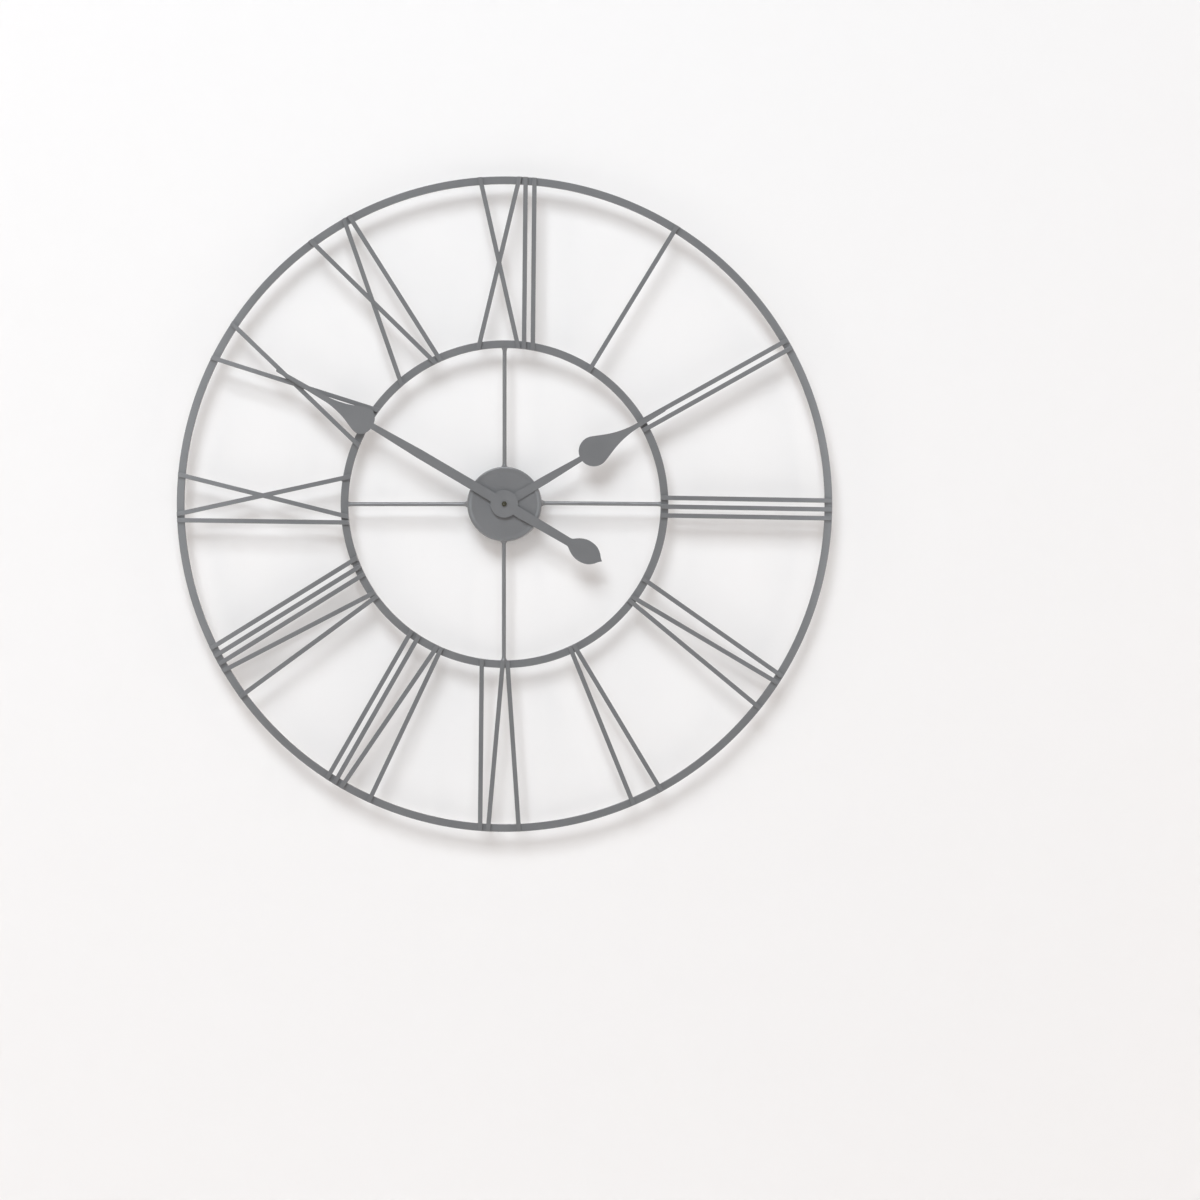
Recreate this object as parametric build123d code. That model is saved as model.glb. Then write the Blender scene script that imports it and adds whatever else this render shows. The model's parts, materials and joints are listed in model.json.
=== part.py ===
from build123d import *
import math
import os

# Open-work wall clock, 800 mm across, welded from flat steel strip, bar and rod round a pressed hub
# pan that holds a quartz movement. Millimetres, +Z up, the dial looks along -Y and the wall is on +Y.
# The hand axis is the Y axis and the origin is halfway between the wall and the tip of the shaft.

# ---------------------------------------------------------------- driving dimensions
DIAL_OD = 800.0           # outside diameter of the outer ring
INNER_RING_OD = 400.0     # outside diameter of the inner ring
STRIP_FACE = 9.5          # face width of both ring strips
STRIP_THICK = 3.0         # thickness of both ring strips
BAR_WIDE = 5.5            # numeral bars: face width
BAR_THICK = 3.0           # numeral bars: thickness
ROD_DIA = 5.0             # four spokes between hub and inner ring
PAN_DIA = 91.0            # pressed hub pan: outside diameter
PAN_DEPTH = 28.0          # pressed hub pan: wall to rim
SHEET = 1.2               # sheet thickness of the pan
HAND_SHEET = 0.8          # sheet thickness of both hands
TOTAL_DEPTH = 34.5        # wall to the tip of the minute shaft

HOUR_ANGLE = 59.5         # hands at rest, degrees clockwise from 12
MINUTE_ANGLE = 300.5

# ---------------------------------------------------------------- depths, measured forward from the wall
WALL_Y = TOTAL_DEPTH / 2
RING_BACK = 21.0
RING_FRONT = RING_BACK + STRIP_THICK
BAR_FRONT = RING_FRONT + BAR_THICK
ROD_MID = (RING_BACK + RING_FRONT) / 2
PAN_RECESS = 0.5                                    # pan face lies this far behind its rim
PAN_FACE = PAN_DEPTH - PAN_RECESS
PAN_INSIDE = PAN_FACE - SHEET
SEAT_FRONT = PAN_FACE - 3.2                         # round seat pressed back into the face for washer and nut
SEAT_BACK = SEAT_FRONT - SHEET
GASKET_THICK = 1.0
CASE_FRONT = SEAT_BACK - GASKET_THICK
CASE_DEPTH = 17.0
CASE_BACK = CASE_FRONT - CASE_DEPTH
WASHER_THICK = 0.5
NUT_THICK = 2.0
NECK_FRONT = SEAT_FRONT + WASHER_THICK + NUT_THICK + 0.3
HOUR_PLATE = 28.4                                   # back of the hour hand's plate
HOUR_TUBE_FRONT = HOUR_PLATE + HAND_SHEET + 0.2
MINUTE_PLATE = 30.4                                 # back of the minute hand's plate
HAND_NUT_THICK = 2.0

# ---------------------------------------------------------------- movement
CASE_SIDE = 56.0
CASE_WALL = 1.2
CASE_CORNER = 4.0
CAVITY_HALF = CASE_SIDE / 2 - CASE_WALL
CAVITY_FRONT = CASE_DEPTH - CASE_WALL               # movement depths count forward from the case back
BAY_TOP = -11.6                                     # battery bay: upper wall, z
PARTITION = 1.2
BATTERY_DIA = 14.5
BATTERY_LENGTH = 50.5
BATTERY_Z = (BAY_TOP - CAVITY_HALF) / 2
BATTERY_DEPTH = CAVITY_FRONT - 0.35 - BATTERY_DIA / 2
NUB_LENGTH = 1.0
CONTACT_THICK = 0.4
CONTACT_GAP = 0.1
SPRING_WIRE_R = 0.25
BOARD_BACK = 3.0
BOARD_FRONT = 4.0
STATOR_BACK = 5.0
STATOR_FRONT = 6.0
CORE_FRONT = 7.0
CORE_HALF_Z = 1.5
COIL_Z = 22.3
COIL_DEPTH = (STATOR_FRONT + CORE_FRONT) / 2
COIL_START = -17.0
COIL_END = 6.0
BOBBIN_FLANGE_R = 3.8
BOBBIN_TUBE_R = 2.1
WINDING_R = 3.3
FLANGE_THICK = 0.8
BRIDGE_BACK = 1.6
BRIDGE_FRONT = 2.4
PIVOT_R = 0.4
PIVOT_HOLE_R = 0.45
ARBOR_R = 0.6
MOTION_ARBOR_R = 0.7
KNOB_R = 5.0
KNOB_THICK = 2.4
KNOB_GAP = 0.3
KNOB_RIBS = 24
MINUTE_SHAFT_R = 1.75
HOUR_TUBE_R = 2.5
RUNNING = 0.08                                      # radial clearance of the turning fits
NECK_R = 4.0
WHEEL_THICK = 0.8
LAYERS = {"rotor": 7.4, "second": 8.7, "third": 10.0, "centre": 11.3, "minute": 12.6, "hour": 13.9}

# teeth and modules: wheel teeth, pinion teeth, module
CENTRE_THIRD = (60, 8, 0.27)
THIRD_SECOND = (64, 8, 0.24)
SECOND_STEP = (40, 8, 0.28)
STEP_ROTOR = (36, 6, 0.24)
MOTION_CANNON = (36, 12, 0.40)
HOUR_MOTION = (40, 10, 0.384)


def centre_distance(pair):
    wheel_teeth, pinion_teeth, module = pair
    return (wheel_teeth + pinion_teeth) * module / 2


def step_from(point, distance, degrees):
    angle = math.radians(degrees)
    return (point[0] + distance * math.cos(angle), point[1] + distance * math.sin(angle))


CENTRE_XZ = (0.0, 0.0)
MOTION_XZ = step_from(CENTRE_XZ, centre_distance(MOTION_CANNON), 180)
THIRD_XZ = step_from(CENTRE_XZ, centre_distance(CENTRE_THIRD), 0)
SECOND_XZ = step_from(THIRD_XZ, centre_distance(THIRD_SECOND), 100)
STEP_XZ = step_from(SECOND_XZ, centre_distance(SECOND_STEP), 150)
ROTOR_XZ = step_from(STEP_XZ, centre_distance(STEP_ROTOR), 160)
BRIDGE_POSTS = [(-18.0, 6.5), (-18.0, -8.0), (19.5, -7.5), (16.5, 13.0)]
STATOR_POSTS = [(-20.0, 14.0), (9.0, 16.0)]


# ---------------------------------------------------------------- helpers
def plane_at(depth):
    """Drawing plane parallel to the wall: local x is +X, local y is +Z, and it faces the viewer."""
    return Plane(origin=(0, WALL_Y - depth, 0), x_dir=(1, 0, 0), z_dir=(0, -1, 0))


def slab(sketch, back, front):
    """A flat piece with this outline, from one depth to another."""
    return extrude(plane_at(back) * sketch, front - back)


def disc(radius, back, front, at=(0.0, 0.0)):
    return slab(Pos(at[0], at[1]) * Circle(radius), back, front)


def clock_point(radius, degrees):
    """A point of the dial from its radius and its angle clockwise from 12."""
    angle = math.radians(degrees)
    return (radius * math.sin(angle), radius * math.cos(angle))


def save(shape, node):
    shape.label = node
    export_step(shape, "parts/" + node + ".step")


# ---------------------------------------------------------------- rings, numerals and spokes
EDGE = 0.5                # rounded edges of strip and bar
INNER_BORE = INNER_RING_OD / 2 - STRIP_FACE


def ring(outside_diameter):
    outline = Circle(outside_diameter / 2) - Circle(outside_diameter / 2 - STRIP_FACE)
    strip = slab(outline, RING_BACK, RING_FRONT)
    return fillet(strip.edges(), EDGE)


OUTER_GAUGE_R = 384.0     # radii at which the stroke positions below are given
INNER_GAUGE_R = 205.0
BAR_INSET = 0.4           # bars stop this far inside the strip's edges
STROKE_PITCH = 10.8       # between neighbouring letters
V_HALF = (17.7, 3.75)     # half width of a V at the outer and at the inner gauge radius
X_HALF = (20.75, -21.25)  # the same for an X, whose strokes cross
LETTERS = {"I": [(0.0, 0.0)],
           "V": [(-V_HALF[0], -V_HALF[1]), (V_HALF[0], V_HALF[1])],
           "X": [(-X_HALF[0], -X_HALF[1]), (X_HALF[0], X_HALF[1])]}
# each numeral, and how far it was welded clockwise of its true place at the two gauge radii
NUMERALS = {1: ("I", 12.7, 8.4), 2: ("II", 4.4, 1.7), 3: ("III", 6.4, 3.3), 4: ("IV", 34.5, 18.5),
            5: ("V", 27.2, 16.2), 6: ("VI", 6.5, 4.7), 7: ("VII", -8.4, -7.8), 8: ("VIII", -6.8, -1.2),
            9: ("IX", 6.3, 3.8), 10: ("X", 0.2, -2.3), 11: ("XI", -14.0, -6.7), 12: ("XII", 5.0, 3.3)}


def strokes(text):
    """Stroke positions of a numeral, outer and inner, from its middle at the outer gauge radius."""
    placed = []
    edge = 0.0
    for index, letter in enumerate(text):
        half = max(outer for outer, inner in LETTERS[letter])
        if index > 0:
            edge += STROKE_PITCH
        middle = edge + half
        placed += [(middle + outer, middle + inner) for outer, inner in LETTERS[letter]]
        edge = middle + half
    return [(outer - edge / 2, inner - edge / 2) for outer, inner in placed]


def bar(start, end, rounded):
    """A straight bar on the rings' faces, drawn well past both rings."""
    length = math.dist(start, end)
    angle = math.degrees(math.atan2(end[1] - start[1], end[0] - start[0]))
    middle = ((start[0] + end[0]) / 2, (start[1] + end[1]) / 2)
    outline = Pos(middle[0], middle[1]) * Rot(0, 0, angle) * Rectangle(length + 80, BAR_WIDE)
    solid = slab(outline, RING_FRONT, BAR_FRONT)
    if rounded:
        ends = solid.edges().group_by(Edge.length)[-1]
        solid = fillet(ends, EDGE)
    return solid


def numeral(hour):
    """The bars of one numeral. A bar that meets an earlier one is cut and butted against it."""
    text, outer_shift, inner_shift = NUMERALS[hour]
    band = slab(Circle(DIAL_OD / 2 - BAR_INSET) - Circle(INNER_BORE + BAR_INSET), RING_FRONT, BAR_FRONT)
    solids = []
    cutters = []
    for outer, inner in strokes(text):
        outer_degrees = hour * 30 + math.degrees((outer + outer_shift) / OUTER_GAUGE_R)
        inner_degrees = hour * 30 + math.degrees((inner + inner_shift) / INNER_GAUGE_R)
        start = clock_point(INNER_GAUGE_R, inner_degrees)
        end = clock_point(OUTER_GAUGE_R, outer_degrees)
        piece = bar(start, end, True) & band
        for cutter in cutters:
            piece = piece - cutter
        cutters.append(bar(start, end, False))
        solids += list(piece.solids())
    return Compound(children=solids)


# spokes: hour, sideways shift clockwise at the hub and at the inner ring
SPOKES = {12: (0.0, 0.0), 3: (-1.4, 0.0), 6: (0.8, 0.8), 9: (0.0, 0.0)}


def spoke(hour):
    """A round rod, its ends coped to the pan's wall and to the inner ring's bore."""
    hub_shift, ring_shift = SPOKES[hour]
    hub_r = PAN_DIA / 2
    inner = clock_point(hub_r, hour * 30 + math.degrees(hub_shift / hub_r))
    outer = clock_point(INNER_BORE, hour * 30 + math.degrees(ring_shift / INNER_BORE))
    start = Vector(inner[0], WALL_Y - ROD_MID, inner[1])
    along = Vector(outer[0], WALL_Y - ROD_MID, outer[1]) - start
    run = along.length
    way = along.normalized()
    rod = extrude(Plane(origin=start - way * 5, z_dir=way) * Circle(ROD_DIA / 2), run + 10)
    gap = slab(Circle(INNER_BORE) - Circle(hub_r), ROD_MID - ROD_DIA, ROD_MID + ROD_DIA)
    return rod & gap


# ---------------------------------------------------------------- hub pan and its hanger
PAN_ROUND = 2.0
RIM_WIDE = 3.2
SEAT_R = 12.6
SEAT_ROUND = 0.8
KEYHOLE_Z = 33.0                                    # above the movement, which leaves room for the screw's head
KEYHOLE_R = 4.5
KEYSLOT_R = 2.3
KEYSLOT_TOP = 38.8
HANGER_THICK = 1.5
HANGER_LOW = 24.0
HANGER_HIGH = 43.2


def hub_pan():
    """Pressed round pan, open towards the wall. Its face is set back a little inside a raised rim, and a
    seat is pressed into the middle so that the nut of the movement stays below the face."""
    blank = disc(PAN_DIA / 2, 0, PAN_DEPTH)
    front_edge = blank.edges().sort_by(Axis.Y)[0]
    blank = fillet(front_edge, PAN_ROUND)
    recess = disc(PAN_DIA / 2 - RIM_WIDE, PAN_FACE, PAN_DEPTH + 1)
    recess = fillet(recess.edges().sort_by(Axis.Y)[-1], PAN_RECESS * 0.8)
    inside = disc(PAN_DIA / 2 - SHEET, -1, PAN_INSIDE)
    inside = fillet(inside.edges().sort_by(Axis.Y)[0], PAN_ROUND - SHEET)
    seat = disc(SEAT_R + SHEET, SEAT_BACK, PAN_FACE - 0.3)
    seat = fillet(seat.edges().sort_by(Axis.Y)[-1], SEAT_ROUND)
    well = disc(SEAT_R, SEAT_FRONT, PAN_DEPTH + 1)
    well = fillet(well.edges().sort_by(Axis.Y)[-1], SEAT_ROUND)
    return blank - recess - inside + seat - well - disc(NECK_R + 0.3, SEAT_BACK - 1, PAN_DEPTH)


def hanger_plate():
    """Strip welded across the back of the pan, with a keyhole for the wall screw."""
    strip = Pos(0, (HANGER_LOW + HANGER_HIGH) / 2) * Rectangle(PAN_DIA, HANGER_HIGH - HANGER_LOW)
    outline = strip & Circle(PAN_DIA / 2 - SHEET)
    slot_height = KEYSLOT_TOP - KEYHOLE_Z
    slot = Pos(0, KEYHOLE_Z + slot_height / 2) * Rectangle(2 * KEYSLOT_R, slot_height)
    slot = slot + Pos(0, KEYSLOT_TOP) * Circle(KEYSLOT_R)
    outline = outline - slot - Pos(0, KEYHOLE_Z) * Circle(KEYHOLE_R)
    return slab(outline, 0, HANGER_THICK)


# ---------------------------------------------------------------- movement case and electrics
def movement_depth(depth):
    """Depth forward of the wall of a place given forward of the movement's back."""
    return CASE_BACK + depth


def case_slab(sketch, back, front):
    return slab(sketch, movement_depth(back), movement_depth(front))


def case_disc(radius, back, front, at):
    return disc(radius, movement_depth(back), movement_depth(front), at)


def box_outline(low_x, high_x, low_z, high_z):
    middle = Pos((low_x + high_x) / 2, (low_z + high_z) / 2)
    return middle * Rectangle(high_x - low_x, high_z - low_z)


def movement_case():
    """Moulded case, open at the back, with the threaded neck, posts and blind pivot holes."""
    shell = case_slab(RectangleRounded(CASE_SIDE, CASE_SIDE, CASE_CORNER), 0, CASE_DEPTH)
    train_room = box_outline(-CAVITY_HALF, CAVITY_HALF, BAY_TOP + PARTITION, CAVITY_HALF)
    bay = box_outline(-CAVITY_HALF, CAVITY_HALF, -CAVITY_HALF, BAY_TOP)
    shell = shell - case_slab(train_room, -1, CAVITY_FRONT) - case_slab(bay, -1, CAVITY_FRONT)
    shell = shell + disc(NECK_R, CASE_FRONT - 0.5, NECK_FRONT)
    for post in BRIDGE_POSTS:
        shell = shell + case_disc(1.5, BRIDGE_FRONT, CAVITY_FRONT + 0.2, post)
    for post in STATOR_POSTS:
        shell = shell + case_disc(1.2, STATOR_FRONT, CAVITY_FRONT + 0.2, post)
    shell = shell - disc(HOUR_TUBE_R + RUNNING, movement_depth(CAVITY_FRONT) - 1, NECK_FRONT + 1)
    for pivot in (MOTION_XZ, THIRD_XZ, SECOND_XZ, STEP_XZ, ROTOR_XZ):
        shell = shell - case_disc(PIVOT_HOLE_R, CAVITY_FRONT - 1, CAVITY_FRONT + 0.8, pivot)
    return shell


def back_cover():
    """Snap-in cover of the gear compartment, with the hole of the setting knob."""
    fit = 0.1
    plate = box_outline(-CAVITY_HALF + fit, CAVITY_HALF - fit, BAY_TOP + PARTITION + fit, CAVITY_HALF - fit)
    hole = Pos(MOTION_XZ[0], MOTION_XZ[1]) * Circle(MOTION_ARBOR_R + 0.4)
    return case_slab(plate - hole, 0, CASE_WALL)


def train_bridge():
    """Inner plate that carries the back pivots. It rests on the four posts of the case."""
    plate = box_outline(-21.0, 22.0, -10.0, 16.5)
    for pivot in (CENTRE_XZ, THIRD_XZ, SECOND_XZ, STEP_XZ, ROTOR_XZ):
        plate = plate - Pos(pivot[0], pivot[1]) * Circle(PIVOT_HOLE_R)
    plate = plate - Pos(MOTION_XZ[0], MOTION_XZ[1]) * Circle(MOTION_ARBOR_R + RUNNING)
    return case_slab(plate, BRIDGE_BACK, BRIDGE_FRONT)


def along_x(radius, start_x, end_x, depth, z):
    """A round piece that lies along X inside the movement."""
    face = Plane(origin=(start_x, WALL_Y - movement_depth(depth), z), z_dir=(1, 0, 0)) * Circle(radius)
    return extrude(face, end_x - start_x)


def battery():
    """AA cell, its positive nub towards +X."""
    nub_tip = CAVITY_HALF - CONTACT_THICK - CONTACT_GAP
    body_end = nub_tip - NUB_LENGTH
    body_start = nub_tip - BATTERY_LENGTH
    can = along_x(BATTERY_DIA / 2, body_start, body_end, BATTERY_DEPTH, BATTERY_Z)
    can = fillet(can.edges().filter_by(GeomType.CIRCLE), 0.6)
    return can + along_x(2.75, body_end - 0.5, nub_tip, BATTERY_DEPTH, BATTERY_Z)


def contact_plate(side):
    """Plated strip against the bay's end wall; side is 1 at the positive and -1 at the negative end."""
    outer = side * CAVITY_HALF
    inner = side * (CAVITY_HALF - CONTACT_THICK)
    strip = box_outline(min(outer, inner), max(outer, inner), -25.0, -13.5)
    return case_slab(strip, 2.0, 14.0)


def negative_spring():
    """Conical contact spring, wound flat side against its strip."""
    start_x = -CAVITY_HALF + CONTACT_THICK + SPRING_WIRE_R
    end_x = CAVITY_HALF - CONTACT_THICK - CONTACT_GAP - BATTERY_LENGTH - CONTACT_GAP - SPRING_WIRE_R
    turns = 3
    coils = []
    for turn in range(turns):
        share = turn / (turns - 1)
        radius = 4.6 - 2.4 * share
        x = start_x + (end_x - start_x) * share
        axis = Plane(origin=(x, WALL_Y - movement_depth(BATTERY_DEPTH), BATTERY_Z), z_dir=(1, 0, 0))
        coils.append(axis * Torus(radius, SPRING_WIRE_R))
    return Compound(children=[contact_plate(-1)] + coils)


def circuit_board():
    plate = box_outline(-26.0, -11.8, -10.2, 9.0)
    for post in BRIDGE_POSTS[:2]:
        plate = plate - Pos(post[0], post[1]) * Circle(1.6)
    return case_slab(plate, BOARD_BACK, BOARD_FRONT)


def chip_blob():
    """Bead of black resin over the divider chip."""
    bead = case_disc(2.6, BOARD_FRONT, BOARD_FRONT + 1.1, (-22.0, 1.5))
    return fillet(bead.edges().sort_by(Axis.Y)[0], 0.9)


def quartz_crystal():
    can = along_x(1.0, -24.5, -18.5, BOARD_FRONT + 1.0, -3.5)
    return fillet(can.edges().filter_by(GeomType.CIRCLE), 0.3)


def stator():
    """Soft iron plate: two legs up to the coil core and a bar round the rotor."""
    bar_part = box_outline(-22.0, 11.5, 9.6, 17.5)
    legs = box_outline(-22.0, -18.0, 9.6, 24.5) + box_outline(7.5, 11.5, 9.6, 24.5)
    plate = bar_part + legs
    plate = plate - Pos(ROTOR_XZ[0], ROTOR_XZ[1]) * Circle(3.0) - Pos(STEP_XZ[0], STEP_XZ[1]) * Circle(1.0)
    return case_slab(plate, STATOR_BACK, STATOR_FRONT)


def coil_core():
    strip = box_outline(-22.0, 11.5, COIL_Z - CORE_HALF_Z, COIL_Z + CORE_HALF_Z)
    return case_slab(strip, STATOR_FRONT, CORE_FRONT)


def coil_bobbin():
    """Spool on the core, its flat bore the size of the core strip."""
    spool = along_x(BOBBIN_TUBE_R, COIL_START, COIL_END, COIL_DEPTH, COIL_Z)
    spool = spool + along_x(BOBBIN_FLANGE_R, COIL_START, COIL_START + FLANGE_THICK, COIL_DEPTH, COIL_Z)
    spool = spool + along_x(BOBBIN_FLANGE_R, COIL_END - FLANGE_THICK, COIL_END, COIL_DEPTH, COIL_Z)
    return spool - coil_core()


def coil_winding():
    start = COIL_START + FLANGE_THICK
    end = COIL_END - FLANGE_THICK
    wound = along_x(WINDING_R, start, end, COIL_DEPTH, COIL_Z)
    return wound - along_x(BOBBIN_TUBE_R, start, end, COIL_DEPTH, COIL_Z)


# ---------------------------------------------------------------- wheels and pinions
def toothed(teeth, module, point_at, tooth_there, leaf):
    """Outline of a wheel or pinion whose tooth, or gap, points at the angle point_at (degrees from +X)."""
    pitch_r = teeth * module / 2
    pitch_angle = 2 * math.pi / teeth
    tip_r = pitch_r + (0.65 if leaf else 0.9) * module
    root_r = pitch_r - 1.2 * module
    root_share, pitch_share, tip_share = (0.15, 0.15, 0.07) if leaf else (0.22, 0.19, 0.07)
    start = math.radians(point_at) + (0 if tooth_there else pitch_angle / 2)
    points = []
    for index in range(teeth):
        middle = start + index * pitch_angle
        flank = [(root_r, -root_share), (pitch_r, -pitch_share), (tip_r, -tip_share),
                 (tip_r, tip_share), (pitch_r, pitch_share), (root_r, root_share)]
        for radius, share in flank:
            angle = middle + share * pitch_angle
            points.append((radius * math.cos(angle), radius * math.sin(angle)))
    return make_face(Polyline(*points, close=True))


def bearing(start, end):
    """Angle of the line from one arbor to the next, degrees from +X."""
    return math.degrees(math.atan2(end[1] - start[1], end[0] - start[0]))


def wheel(pair, here, other, layer):
    """The large gear of a pair, a tooth pointing at the pinion's arbor."""
    outline = Pos(here[0], here[1]) * toothed(pair[0], pair[2], bearing(here, other), True, False)
    return case_slab(outline, layer, layer + WHEEL_THICK)


def pinion(pair, here, other, layer):
    """The small gear of a pair, a gap pointing at the wheel's arbor, a little longer than the wheel."""
    outline = Pos(here[0], here[1]) * toothed(pair[1], pair[2], bearing(here, other), False, True)
    return case_slab(outline, layer - 0.15, layer + WHEEL_THICK + 0.15)


def lightening(pair, here, layer, count, hub_r):
    """Round holes between a wheel's hub and its rim."""
    rim_r = pair[0] * pair[2] / 2 - 1.2 * pair[2] - 0.7
    hole_r = (rim_r - hub_r) / 2
    holes = None
    for index in range(count):
        spot = step_from(here, (rim_r + hub_r) / 2, 30 + index * 360 / count)
        hole = case_disc(hole_r, layer - 0.5, layer + WHEEL_THICK + 0.5, spot)
        holes = hole if holes is None else holes + hole
    return holes


def arbor(here, radius, back=BRIDGE_FRONT + 0.1):
    """Arbor with a thin pivot at each end."""
    body = case_disc(radius, back, CAVITY_FRONT - 0.1, here)
    front_pivot = case_disc(PIVOT_R, CAVITY_FRONT - 0.2, CAVITY_FRONT + 0.7, here)
    back_pivot = case_disc(PIVOT_R, BRIDGE_BACK + 0.1, back + 0.1, here)
    return body + front_pivot + back_pivot


def rotor_pinion():
    return arbor(ROTOR_XZ, PIVOT_R) + pinion(STEP_ROTOR, ROTOR_XZ, STEP_XZ, LAYERS["rotor"])


def rotor_magnet():
    return case_slab(Pos(ROTOR_XZ[0], ROTOR_XZ[1]) * (Circle(2.5) - Circle(PIVOT_R)), 4.3, 6.8)


def step_wheel():
    return (arbor(STEP_XZ, ARBOR_R) + wheel(STEP_ROTOR, STEP_XZ, ROTOR_XZ, LAYERS["rotor"])
            + pinion(SECOND_STEP, STEP_XZ, SECOND_XZ, LAYERS["second"]))


def second_wheel():
    return (arbor(SECOND_XZ, ARBOR_R) + wheel(SECOND_STEP, SECOND_XZ, STEP_XZ, LAYERS["second"])
            + pinion(THIRD_SECOND, SECOND_XZ, THIRD_XZ, LAYERS["third"])
            - lightening(SECOND_STEP, SECOND_XZ, LAYERS["second"], 3, 1.8))


def third_wheel():
    return (arbor(THIRD_XZ, ARBOR_R) + wheel(THIRD_SECOND, THIRD_XZ, SECOND_XZ, LAYERS["third"])
            + pinion(CENTRE_THIRD, THIRD_XZ, CENTRE_XZ, LAYERS["centre"])
            - lightening(THIRD_SECOND, THIRD_XZ, LAYERS["third"], 4, 2.0))


MINUTE_SPIGOT_R = 2.4
HOUR_SPIGOT_R = 3.2
SHAFT_BORE_R = 0.9
SHAFT_TIP_R = 1.4


def minute_arbor():
    """Centre wheel with the cannon pinion and the hollow minute shaft that comes out through the neck."""
    body = wheel(CENTRE_THIRD, CENTRE_XZ, THIRD_XZ, LAYERS["centre"])
    body = body - lightening(CENTRE_THIRD, CENTRE_XZ, LAYERS["centre"], 4, 3.0)
    body = body + pinion(MOTION_CANNON, CENTRE_XZ, MOTION_XZ, LAYERS["minute"])
    body = body + case_disc(PIVOT_R, BRIDGE_BACK + 0.1, BRIDGE_FRONT + 0.3, CENTRE_XZ)
    body = body + case_disc(0.75, BRIDGE_FRONT + 0.1, LAYERS["centre"] + 0.4, CENTRE_XZ)
    shaft_start = movement_depth(LAYERS["centre"] + 0.2)
    body = body + disc(MINUTE_SHAFT_R, shaft_start, MINUTE_PLATE + HAND_SHEET)
    body = body + disc(SHAFT_TIP_R, MINUTE_PLATE, TOTAL_DEPTH)
    return body - disc(SHAFT_BORE_R, MINUTE_PLATE - 12, TOTAL_DEPTH + 1)


def hour_wheel():
    """Hour wheel and its tube, which runs in the neck and round the minute shaft."""
    body = wheel(HOUR_MOTION, CENTRE_XZ, MOTION_XZ, LAYERS["hour"])
    body = body - lightening(HOUR_MOTION, CENTRE_XZ, LAYERS["hour"], 4, 3.4)
    body = body + disc(HOUR_TUBE_R, movement_depth(LAYERS["hour"]), HOUR_TUBE_FRONT)
    return body - disc(MINUTE_SHAFT_R + RUNNING, movement_depth(LAYERS["hour"]) - 1, HOUR_TUBE_FRONT + 1)


def motion_wheel():
    """Motion-work wheel and pinion; its arbor runs out through the back cover to the setting knob."""
    body = case_disc(MOTION_ARBOR_R, -KNOB_GAP - KNOB_THICK, CAVITY_FRONT - 0.1, MOTION_XZ)
    body = body + case_disc(PIVOT_R, CAVITY_FRONT - 0.2, CAVITY_FRONT + 0.7, MOTION_XZ)
    body = body + wheel(MOTION_CANNON, MOTION_XZ, CENTRE_XZ, LAYERS["minute"])
    body = body - lightening(MOTION_CANNON, MOTION_XZ, LAYERS["minute"], 4, 2.4)
    return body + pinion(HOUR_MOTION, MOTION_XZ, CENTRE_XZ, LAYERS["hour"])


def setting_knob():
    """Ribbed thumb wheel on the back of the movement."""
    outline = Circle(KNOB_R) - Circle(MOTION_ARBOR_R)
    for index in range(KNOB_RIBS):
        groove = step_from((0, 0), KNOB_R, index * 360 / KNOB_RIBS)
        outline = outline - Pos(groove[0], groove[1]) * Circle(0.35)
    return case_slab(Pos(MOTION_XZ[0], MOTION_XZ[1]) * outline, -KNOB_GAP - KNOB_THICK, -KNOB_GAP)


# ---------------------------------------------------------------- fixing of the movement
def rubber_gasket():
    return slab(Circle(12.0) - Circle(NECK_R), CASE_FRONT, SEAT_BACK)


def brass_washer():
    return slab(Circle(8.5) - Circle(NECK_R), SEAT_FRONT, SEAT_FRONT + WASHER_THICK)


def neck_nut():
    back = SEAT_FRONT + WASHER_THICK
    return slab(RegularPolygon(7.0, 6) - Circle(NECK_R), back, back + NUT_THICK)


# ---------------------------------------------------------------- hands
BOSS_R = 16.8
# stem: radius and half width at two places; bulb: neck, widest, mid and end of the taper; then the tip
HOUR_SHAPE = {"stem": [(0, 5.2), (60, 5.0), (104, 3.4)], "neck": (108.0, 3.4), "widest": (126.5, 18.4),
              "mid": (149.4, 10.5), "end": (184.0, 3.2), "tip": (228.0, 2.2)}
MINUTE_SHAPE = {"stem": [(0, 5.8), (140, 5.6), (182, 3.8)], "neck": (186.5, 3.8), "widest": (199.5, 17.1),
                "mid": (216.5, 11.1), "end": (249.0, 3.5), "tip": (322.0, 2.2)}
TAIL_STEM = [(0, 6.2), (93, 5.1)]
TAIL_WIDEST = (112.5, 14.1)
TAIL_TIP = 138.0


def whole_outline(edges, half_width, length):
    """Close a half outline along the hand's own axis, which is +X from the hub, and mirror it."""
    back = Line((0, 0), (0, half_width))
    axis = Line((length, 0), (0, 0))
    half = make_face(Wire([back] + edges + [axis]))
    return half + mirror(half, Plane.XZ)


def pointer_outline(shape):
    """Stem, round-bellied bulb that tapers hollow to a slender blade, and a rounded tip."""
    line = [Line(a, b) for a, b in zip(shape["stem"], shape["stem"][1:])]
    line.append(Line(shape["stem"][-1], shape["neck"]))
    line.append(Spline(shape["neck"], shape["widest"], tangents=[(0.25, 1.0), (1.0, 0.0)]))
    line.append(Spline(shape["widest"], shape["mid"], shape["end"], tangents=[(1.0, 0.0), (1.0, -0.03)]))
    blunt = (shape["tip"][0] - 2.0, shape["tip"][1])
    line.append(Line(shape["end"], blunt))
    line.append(ThreePointArc(blunt, (shape["tip"][0] - 0.6, shape["tip"][1] * 0.7), (shape["tip"][0], 0)))
    return whole_outline(line, shape["stem"][0][1], shape["tip"][0])


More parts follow.
